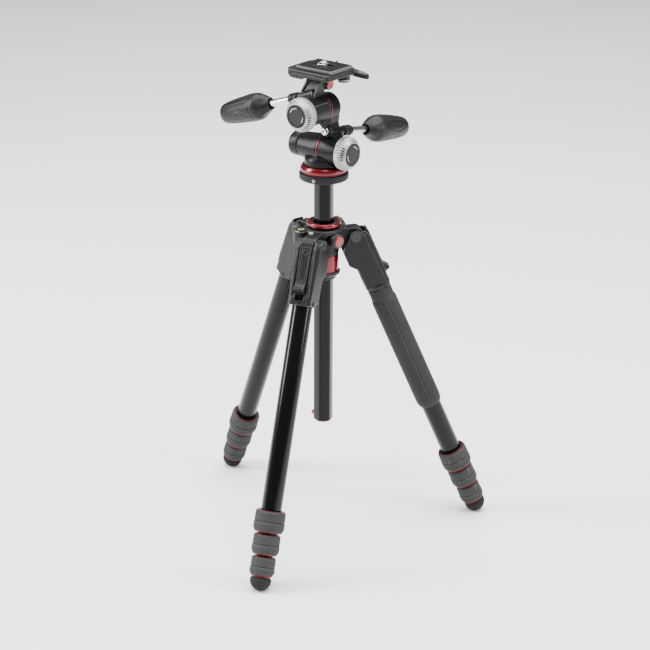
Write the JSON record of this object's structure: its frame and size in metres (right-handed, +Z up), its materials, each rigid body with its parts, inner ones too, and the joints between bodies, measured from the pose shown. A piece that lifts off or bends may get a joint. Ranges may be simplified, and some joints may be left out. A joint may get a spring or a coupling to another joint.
{
  "type": "camera tripod",
  "caption": "Folding camera tripod with telescoping twist-lock legs, a sliding centre column and a pan, front-tilt and side-tilt head with a quick-release plate.",
  "frame": {"origin": "on the floor, under the axis of the centre column", "axes": "+Z up along the centre column; the head looks towards -Y and its second tilt axis runs along Y"},
  "size_m": [0.3547, 0.3592, 0.6],
  "materials": {
    "casting": "satin dark grey powder coat",
    "tube": "glossy black anodised",
    "rubber": "matt black",
    "red": "glossy red anodised",
    "silver": "satin silver",
    "plastic": "dark grey",
    "level": "clear yellow-green"
  },
  "bodies": {
    "hub": {"hub": "casting", "column_collar": "red", "column_barrel": "red", "barrel_nut": "casting", "socket_cap": "red", "bubble_level": "level"},
    "front_leg": {"front_leg_bracket": "casting", "front_pivot_bolt": "silver", "front_leg_tube_1": "tube"},
    "front_selector": {"front_angle_selector": "casting"},
    "front_lock_1": {"front_twist_lock_1": "rubber"},
    "front_lock_2": {"front_twist_lock_2": "rubber"},
    "front_lock_3": {"front_twist_lock_3": "rubber"},
    "front_section_2": {"front_leg_tube_2": "tube"},
    "front_section_3": {"front_leg_tube_3": "tube"},
    "front_section_4": {"front_leg_tube_4": "tube", "front_foot": "rubber"},
    "right_leg": {"right_leg_bracket": "casting", "right_pivot_bolt": "silver", "right_leg_tube_1": "tube", "right_leg_grip": "rubber"},
    "right_selector": {"right_angle_selector": "casting"},
    "right_lock_1": {"right_twist_lock_1": "rubber"},
    "right_lock_2": {"right_twist_lock_2": "rubber"},
    "right_lock_3": {"right_twist_lock_3": "rubber"},
    "right_section_2": {"right_leg_tube_2": "tube"},
    "right_section_3": {"right_leg_tube_3": "tube"},
    "right_section_4": {"right_leg_tube_4": "tube", "right_foot": "rubber"},
    "left_leg": {"left_leg_bracket": "casting", "left_pivot_bolt": "silver", "left_leg_tube_1": "tube"},
    "left_selector": {"left_angle_selector": "casting"},
    "left_lock_1": {"left_twist_lock_1": "rubber"},
    "left_lock_2": {"left_twist_lock_2": "rubber"},
    "left_lock_3": {"left_twist_lock_3": "rubber"},
    "left_section_2": {"left_leg_tube_2": "tube"},
    "left_section_3": {"left_leg_tube_3": "tube"},
    "left_section_4": {"left_leg_tube_4": "tube", "left_foot": "rubber"},
    "column_lock_knob": {"column_lock_knob": "rubber"},
    "column": {"column_tube": "tube", "column_end_cap": "red", "top_disc": "casting", "pan_ring": "red"},
    "release_button": {"column_release_button": "red"},
    "pan_head": {"head_body": "casting", "head_end_cap": "casting"},
    "pan_lock_knob": {"pan_lock_knob": "rubber"},
    "link": {"link_arm": "casting"},
    "tilt_knob": {"tilt_friction_knob": "silver"},
    "tilt_handle": {"tilt_handle_rod": "silver"},
    "tilt_grip": {"tilt_handle_grip": "rubber"},
    "holder": {"plate_holder": "casting"},
    "side_knob": {"side_friction_knob": "silver"},
    "side_handle": {"side_handle_rod": "silver"},
    "side_grip": {"side_handle_grip": "rubber"},
    "lever": {"release_lever": "plastic"},
    "plate": {"quick_plate": "plastic"},
    "screw": {"camera_screw": "silver"}
  },
  "joints": [
    {"name": "front_leg_spread", "type": "hinge", "parent": "hub", "child": "front_leg", "pos_m": [0.01073, -0.03645, 0.385], "axis": [-0.9593, -0.2823, 0], "range_deg": [-23.2, 64.8]},
    {"name": "front_selector_lift", "type": "hinge", "parent": "front_leg", "child": "front_selector", "pos_m": [0.01449, -0.04923, 0.39125], "axis": [-0.9593, -0.2823, 0], "range_deg": [0, 15], "stiffness_Nm_per_rad": 0.3, "springref_deg": -5.73},
    {"name": "front_lock_1_twist", "type": "hinge", "parent": "front_leg", "child": "front_lock_1", "pos_m": [0.04788, -0.16268, 0.07801], "axis": [0.1112, -0.3779, -0.9191], "range_deg": [0, 90]},
    {"name": "front_section_2_slide", "type": "slide", "parent": "front_leg", "child": "front_section_2", "axis": [0.1112, -0.3779, -0.9191], "range_m": [0, 0.28]},
    {"name": "front_lock_2_twist", "type": "hinge", "parent": "front_section_2", "child": "front_lock_2", "pos_m": [0.05099, -0.17326, 0.05227], "axis": [0.1112, -0.3779, -0.9191], "range_deg": [0, 90]},
    {"name": "front_section_3_slide", "type": "slide", "parent": "front_section_2", "child": "front_section_3", "axis": [0.1112, -0.3779, -0.9191], "range_m": [0, 0.27]},
    {"name": "front_lock_3_twist", "type": "hinge", "parent": "front_section_3", "child": "front_lock_3", "pos_m": [0.05366, -0.18233, 0.03021], "axis": [0.1112, -0.3779, -0.9191], "range_deg": [0, 90]},
    {"name": "front_section_4_slide", "type": "slide", "parent": "front_section_3", "child": "front_section_4", "axis": [0.1112, -0.3779, -0.9191], "range_m": [0, 0.27]},
    {"name": "right_leg_spread", "type": "hinge", "parent": "hub", "child": "right_leg", "pos_m": [0.02621, 0.02752, 0.385], "axis": [0.7242, -0.6896, 0], "range_deg": [-23.2, 64.8]},
    {"name": "right_selector_lift", "type": "hinge", "parent": "right_leg", "child": "right_selector", "pos_m": [0.03539, 0.03716, 0.39125], "axis": [0.7242, -0.6896, 0], "range_deg": [0, 15], "stiffness_Nm_per_rad": 0.3, "springref_deg": -5.73},
    {"name": "right_lock_1_twist", "type": "hinge", "parent": "right_leg", "child": "right_lock_1", "pos_m": [0.11694, 0.1228, 0.07801], "axis": [0.2717, 0.2853, -0.9191], "range_deg": [0, 90]},
    {"name": "right_section_2_slide", "type": "slide", "parent": "right_leg", "child": "right_section_2", "axis": [0.2717, 0.2853, -0.9191], "range_m": [0, 0.28]},
    {"name": "right_lock_2_twist", "type": "hinge", "parent": "right_section_2", "child": "right_lock_2", "pos_m": [0.12455, 0.13079, 0.05227], "axis": [0.2717, 0.2853, -0.9191], "range_deg": [0, 90]},
    {"name": "right_section_3_slide", "type": "slide", "parent": "right_section_2", "child": "right_section_3", "axis": [0.2717, 0.2853, -0.9191], "range_m": [0, 0.27]},
    {"name": "right_lock_3_twist", "type": "hinge", "parent": "right_section_3", "child": "right_lock_3", "pos_m": [0.13107, 0.13764, 0.03021], "axis": [0.2717, 0.2853, -0.9191], "range_deg": [0, 90]},
    {"name": "right_section_4_slide", "type": "slide", "parent": "right_section_3", "child": "right_section_4", "axis": [0.2717, 0.2853, -0.9191], "range_m": [0, 0.27]},
    {"name": "left_leg_spread", "type": "hinge", "parent": "hub", "child": "left_leg", "pos_m": [-0.03694, 0.00894, 0.385], "axis": [0.2351, 0.972, 0], "range_deg": [-23.2, 64.8]},
    {"name": "left_selector_lift", "type": "hinge", "parent": "left_leg", "child": "left_selector", "pos_m": [-0.04988, 0.01207, 0.39125], "axis": [0.2351, 0.972, 0], "range_deg": [0, 15], "stiffness_Nm_per_rad": 0.3, "springref_deg": -5.73},
    {"name": "left_lock_1_twist", "type": "hinge", "parent": "left_leg", "child": "left_lock_1", "pos_m": [-0.16482, 0.03988, 0.07801], "axis": [-0.3829, 0.0926, -0.9191], "range_deg": [0, 90]},
    {"name": "left_section_2_slide", "type": "slide", "parent": "left_leg", "child": "left_section_2", "axis": [-0.3829, 0.0926, -0.9191], "range_m": [0, 0.28]},
    {"name": "left_lock_2_twist", "type": "hinge", "parent": "left_section_2", "child": "left_lock_2", "pos_m": [-0.17554, 0.04247, 0.05227], "axis": [-0.3829, 0.0926, -0.9191], "range_deg": [0, 90]},
    {"name": "left_section_3_slide", "type": "slide", "parent": "left_section_2", "child": "left_section_3", "axis": [-0.3829, 0.0926, -0.9191], "range_m": [0, 0.27]},
    {"name": "left_lock_3_twist", "type": "hinge", "parent": "left_section_3", "child": "left_lock_3", "pos_m": [-0.18473, 0.04469, 0.03021], "axis": [-0.3829, 0.0926, -0.9191], "range_deg": [0, 90]},
    {"name": "left_section_4_slide", "type": "slide", "parent": "left_section_3", "child": "left_section_4", "axis": [-0.3829, 0.0926, -0.9191], "range_m": [0, 0.27]},
    {"name": "column_lock_turn", "type": "hinge", "parent": "hub", "child": "column_lock_knob", "pos_m": [-0.00847, 0.02878, 0.384], "axis": [-0.2823, 0.9593, 0], "range_deg": [-90, 90]},
    {"name": "column_slide", "type": "slide", "parent": "hub", "child": "column", "axis": [0, 0, 1], "range_m": [-0.045, 0.17]},
    {"name": "release_button_press", "type": "slide", "parent": "column", "child": "release_button", "axis": [0.9593, 0.2823, 0], "range_m": [0, 0.002], "stiffness_N_per_m": 500, "springref_m": -0.002},
    {"name": "pan", "type": "hinge", "parent": "column", "child": "pan_head", "pos_m": [0, 0, 0.475], "axis": [0, 0, 1], "continuous": true},
    {"name": "pan_lock_turn", "type": "hinge", "parent": "pan_head", "child": "pan_lock_knob", "pos_m": [-0.0154, 0.01841, 0.4822], "axis": [-0.6414, 0.7672, 0], "range_deg": [-90, 90]},
    {"name": "front_tilt", "type": "hinge", "parent": "pan_head", "child": "link", "pos_m": [0, 0, 0.4935], "axis": [1, 0, 0], "range_deg": [-30, 80]},
    {"name": "tilt_knob_turn", "type": "hinge", "parent": "link", "child": "tilt_knob", "pos_m": [0.0285, 0, 0.4935], "axis": [1, 0, 0], "range_deg": [-90, 90]},
    {"name": "tilt_handle_turn", "type": "hinge", "parent": "link", "child": "tilt_handle", "pos_m": [0.011, -0.01, 0.5185], "axis": [0, 0.9833, -0.1822], "range_deg": [-90, 90]},
    {"name": "tilt_grip_extend", "type": "slide", "parent": "tilt_handle", "child": "tilt_grip", "axis": [0, 0.9833, -0.1822], "range_m": [0, 0.04]},
    {"name": "side_tilt", "type": "hinge", "parent": "link", "child": "holder", "pos_m": [0, 0, 0.544], "axis": [0, 1, 0], "range_deg": [-30, 90]},
    {"name": "side_knob_turn", "type": "hinge", "parent": "holder", "child": "side_knob", "pos_m": [0, -0.0375, 0.544], "axis": [0, -1, 0], "range_deg": [-90, 90]},
    {"name": "side_handle_turn", "type": "hinge", "parent": "holder", "child": "side_handle", "pos_m": [0.009, -0.02, 0.5676], "axis": [-0.9426, 0, -0.3338], "range_deg": [-90, 90]},
    {"name": "side_grip_extend", "type": "slide", "parent": "side_handle", "child": "side_grip", "axis": [-0.9426, 0, -0.3338], "range_m": [0, 0.04]},
    {"name": "release_lever_turn", "type": "hinge", "parent": "holder", "child": "lever", "pos_m": [-0.012, 0.0335, 0.584], "axis": [0, 0, 1], "range_deg": [0, 60], "stiffness_Nm_per_rad": 0.06, "springref_deg": -17.19},
    {"name": "plate_lift", "type": "slide", "parent": "holder", "child": "plate", "axis": [0, 0, 1], "range_m": [0, 0.02]},
    {"name": "camera_screw_turn", "type": "hinge", "parent": "plate", "child": "screw", "pos_m": [0, 0, 0.5956], "axis": [0, 0, 1], "continuous": true}
  ]
}
